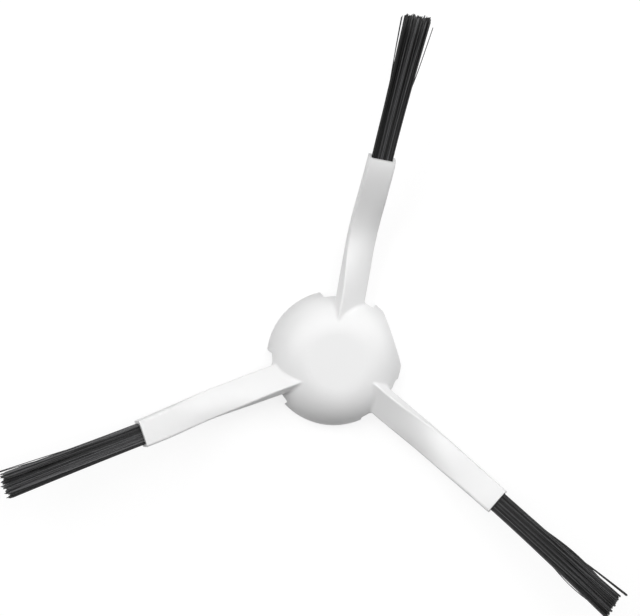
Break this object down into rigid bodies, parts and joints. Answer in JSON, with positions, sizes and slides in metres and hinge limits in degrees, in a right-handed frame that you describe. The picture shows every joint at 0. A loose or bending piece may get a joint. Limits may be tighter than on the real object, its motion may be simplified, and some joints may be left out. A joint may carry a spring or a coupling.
{
  "type": "robot vacuum side brush",
  "caption": "Side brush for a robot floor cleaner: domed clip-on hub with a square drive socket, twisted radiating arms and a stiff bristle tuft in each arm's end.",
  "frame": {"origin": "centre of the drive socket's mouth, on the plane of the hub's open rim", "axes": "+Z along the axis of rotation, out through the dome; +Y along the first arm"},
  "size_m": [0.1565, 0.1356, 0.0275],
  "materials": {
    "white_plastic": "satin white moulded plastic",
    "black_bristle": "black nylon filament with a soft sheen"
  },
  "bodies": {
    "root": {"hub_and_arms": "white_plastic", "bristle_tuft_1": "black_bristle", "bristle_tuft_2": "black_bristle", "bristle_tuft_3": "black_bristle"}
  },
  "joints": []
}
